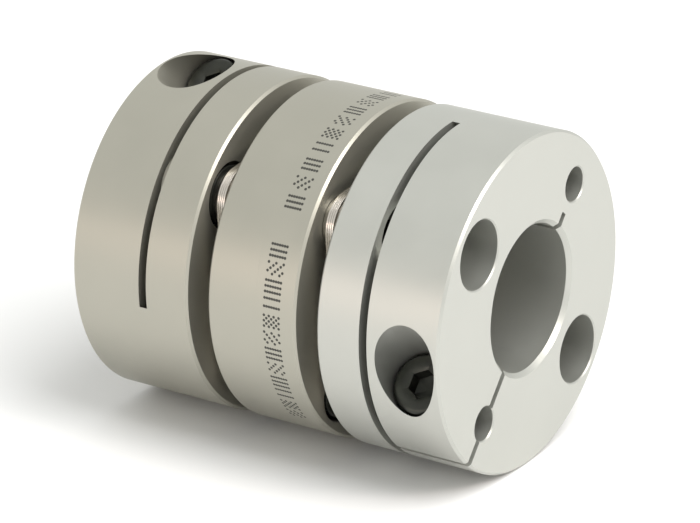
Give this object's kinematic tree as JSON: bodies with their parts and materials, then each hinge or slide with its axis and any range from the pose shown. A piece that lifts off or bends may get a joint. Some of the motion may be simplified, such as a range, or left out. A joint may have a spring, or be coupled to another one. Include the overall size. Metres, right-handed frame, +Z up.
{
  "type": "flexible disc coupling",
  "caption": "Double-flex disc coupling: clamp hubs joined to a spacer by laminated steel disc packs, for round servo shafts.",
  "frame": {"origin": "centre of the coupling: on its axis, halfway between the two end faces, in the middle of the spacer", "axes": "+X along the coupling axis towards the end of hub B; +Z up as it lies, with the heads of both clamp screws 41 degrees above -Y"},
  "size_m": [0.048, 0.039, 0.039],
  "materials": {
    "anodised_aluminium": "satin clear anodised",
    "black_oxide_steel": "black oxide, slightly oiled",
    "spring_steel": "bright rolled stainless",
    "ground_steel": "ground"
  },
  "bodies": {
    "hub_a_body": {"hub_a": "anodised_aluminium", "hub_bolts_a": "black_oxide_steel", "hub_collars_a": "ground_steel", "hub_washers_a": "ground_steel"},
    "pack_a_hub_side": {"disc_a_3": "spring_steel", "disc_a_4": "spring_steel"},
    "pack_a_spacer_side": {"disc_a_1": "spring_steel", "disc_a_2": "spring_steel"},
    "spacer_body": {"spacer": "anodised_aluminium", "spacer_bolts_a": "black_oxide_steel", "spacer_collars_a": "ground_steel", "spacer_washers_a": "ground_steel", "spacer_bolts_b": "black_oxide_steel", "spacer_collars_b": "ground_steel", "spacer_washers_b": "ground_steel"},
    "pack_b_spacer_side": {"disc_b_1": "spring_steel", "disc_b_2": "spring_steel"},
    "pack_b_hub_side": {"disc_b_3": "spring_steel", "disc_b_4": "spring_steel"},
    "hub_b_body": {"hub_b": "anodised_aluminium", "hub_bolts_b": "black_oxide_steel", "hub_collars_b": "ground_steel", "hub_washers_b": "ground_steel"},
    "clamp_screw_a_body": {"clamp_screw_a": "black_oxide_steel"},
    "clamp_screw_b_body": {"clamp_screw_b": "black_oxide_steel"}
  },
  "joints": [
    {"name": "pack_a_hub_bend", "type": "hinge", "parent": "hub_a_body", "child": "pack_a_hub_side", "pos_m": [-0.00713, 0, 0], "axis": [0, 0.6561, 0.7547], "range_deg": [-1, 1], "stiffness_Nm_per_rad": 14},
    {"name": "pack_a_axial_float", "type": "slide", "parent": "pack_a_hub_side", "child": "pack_a_spacer_side", "axis": [1, 0, 0], "range_m": [-0.00015, 0.00015], "stiffness_N_per_m": 128000, "deforming": ["disc_a_1", "disc_a_2", "disc_a_3", "disc_a_4"]},
    {"name": "pack_a_spacer_bend", "type": "hinge", "parent": "pack_a_spacer_side", "child": "spacer_body", "pos_m": [-0.00713, 0, 0], "axis": [0, -0.7547, 0.6561], "range_deg": [-1, 1], "stiffness_Nm_per_rad": 14},
    {"name": "pack_b_spacer_bend", "type": "hinge", "parent": "spacer_body", "child": "pack_b_spacer_side", "pos_m": [0.00713, 0, 0], "axis": [0, -0.7547, 0.6561], "range_deg": [-1, 1], "stiffness_Nm_per_rad": 14},
    {"name": "pack_b_axial_float", "type": "slide", "parent": "pack_b_spacer_side", "child": "pack_b_hub_side", "axis": [1, 0, 0], "range_m": [-0.00015, 0.00015], "stiffness_N_per_m": 128000, "deforming": ["disc_b_1", "disc_b_2", "disc_b_3", "disc_b_4"]},
    {"name": "pack_b_hub_bend", "type": "hinge", "parent": "pack_b_hub_side", "child": "hub_b_body", "pos_m": [0.00713, 0, 0], "axis": [0, 0.6561, 0.7547], "range_deg": [-1, 1], "stiffness_Nm_per_rad": 14},
    {"name": "clamp_screw_a_turn", "type": "hinge", "parent": "hub_a_body", "child": "clamp_screw_a_body", "pos_m": [-0.01975, 0.0055, 0.01364], "axis": [0, -0.7547, 0.6561], "range_deg": [0, 720]},
    {"name": "clamp_screw_b_turn", "type": "hinge", "parent": "hub_b_body", "child": "clamp_screw_b_body", "pos_m": [0.01975, -0.01274, -0.00734], "axis": [0, -0.7547, 0.6561], "range_deg": [0, 720]}
  ]
}
